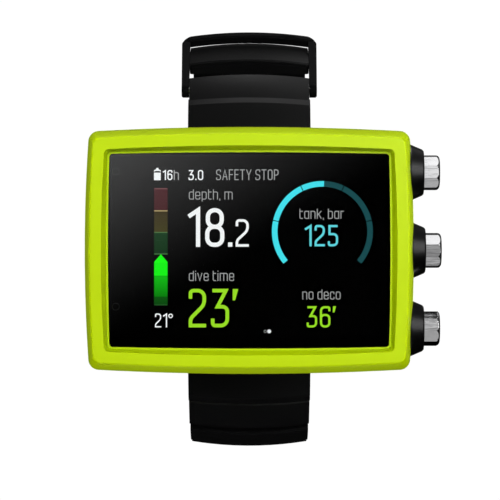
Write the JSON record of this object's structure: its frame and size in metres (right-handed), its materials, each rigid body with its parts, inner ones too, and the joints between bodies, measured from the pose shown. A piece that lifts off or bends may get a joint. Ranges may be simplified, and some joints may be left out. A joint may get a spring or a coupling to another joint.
{
  "type": "dive computer",
  "caption": "Wrist dive computer with a wide bowed colour display in an elastomer boot, three side buttons and a ribbed rubber strap with a frame buckle.",
  "frame": {"origin": "centre of the back cover's flat outer face, which rests on the wrist", "axes": "+X towards the buttons, +Y from the display to the wrist, +Z towards the upper strap"},
  "size_m": [0.0874, 0.0871, 0.1065],
  "materials": {
    "bumper": "satin elastomer",
    "case_plastic": "fine matte black composite",
    "collar_plastic": "satin black",
    "glass": "polished, hard mineral glass",
    "mask": "black printed film",
    "lcd": "dark panel",
    "backlight": "white",
    "sheet_steel": "bare sheet",
    "steel": "stainless",
    "chrome": "polished",
    "brass": "gilt",
    "gasket": "black silicone",
    "seal": "nitrile",
    "foam": "foam",
    "board": "solder resist",
    "chip": "moulded",
    "connector": "moulded",
    "flex": "polyimide",
    "frame_plastic": "moulded",
    "battery": "foil pouch",
    "ferrite": "sintered",
    "copper": "enamelled wire",
    "strap": "matt silicone",
    "buckle": "satin black"
  },
  "bodies": {
    "case": {"bumper_boot": "bumper", "case_body": "case_plastic", "back_cover": "case_plastic", "back_cover_seal": "seal", "back_screws": "steel", "front_glass": "glass", "lens_gasket": "gasket", "mask_film": "mask", "lcd_panel": "lcd", "backlight_unit": "backlight", "display_frame": "sheet_steel", "display_flex": "flex", "light_sensors": "chip", "inner_frame": "frame_plastic", "main_board": "board", "board_screws": "steel", "board_shield": "sheet_steel", "board_chips": "chip", "board_connectors": "connector", "battery_cell": "battery", "battery_pad": "foam", "piezo_beeper": "brass", "pressure_sensor": "steel", "sensor_oring": "seal", "sensor_grille": "steel", "contact_insulator": "case_plastic", "charge_contacts": "brass", "antenna_ferrite": "ferrite", "antenna_coil": "copper", "button_board": "board", "tact_switches": "chip", "button_cable": "flex", "strap_pin_upper": "steel", "strap_pin_lower": "steel", "button_collar_upper": "collar_plastic", "collar_seal_upper": "seal", "button_collar_middle": "collar_plastic", "collar_seal_middle": "seal", "button_collar_lower": "collar_plastic", "collar_seal_lower": "seal"},
    "strap_upper": {"strap_short": "strap", "strap_studs": "steel", "buckle_pin": "steel"},
    "buckle": {"buckle_frame": "buckle"},
    "strap_lower": {"strap_long": "strap"},
    "button_upper": {"button_cap_upper": "chrome", "stem_oring_upper": "seal", "stem_clip_upper": "steel", "button_spring_upper": "steel"},
    "button_middle": {"button_cap_middle": "chrome", "stem_oring_middle": "seal", "stem_clip_middle": "steel", "button_spring_middle": "steel"},
    "button_lower": {"button_cap_lower": "chrome", "stem_oring_lower": "seal", "stem_clip_lower": "steel", "button_spring_lower": "steel"}
  },
  "joints": [
    {"name": "button_upper_press", "type": "slide", "parent": "case", "child": "button_upper", "axis": [1, 0, 0], "range_m": [-0.001, 0], "stiffness_N_per_m": 900, "springref_m": 0.0015, "deforming": ["button_spring_upper"]},
    {"name": "button_middle_press", "type": "slide", "parent": "case", "child": "button_middle", "axis": [1, 0, 0], "range_m": [-0.001, 0], "stiffness_N_per_m": 900, "springref_m": 0.0015, "deforming": ["button_spring_middle"]},
    {"name": "button_lower_press", "type": "slide", "parent": "case", "child": "button_lower", "axis": [1, 0, 0], "range_m": [-0.001, 0], "stiffness_N_per_m": 900, "springref_m": 0.0015, "deforming": ["button_spring_lower"]},
    {"name": "strap_upper_hinge", "type": "hinge", "parent": "case", "child": "strap_upper", "pos_m": [0, -0.0049, 0.0256], "axis": [1, 0, 0], "range_deg": [0, 35]},
    {"name": "buckle_hinge", "type": "hinge", "parent": "strap_upper", "child": "buckle", "pos_m": [0, 0.005, 0.04004], "axis": [1, 0, 0], "range_deg": [0, 100]},
    {"name": "strap_lower_hinge", "type": "hinge", "parent": "case", "child": "strap_lower", "pos_m": [0, -0.0049, -0.0256], "axis": [-1, 0, 0], "range_deg": [0, 50]}
  ]
}
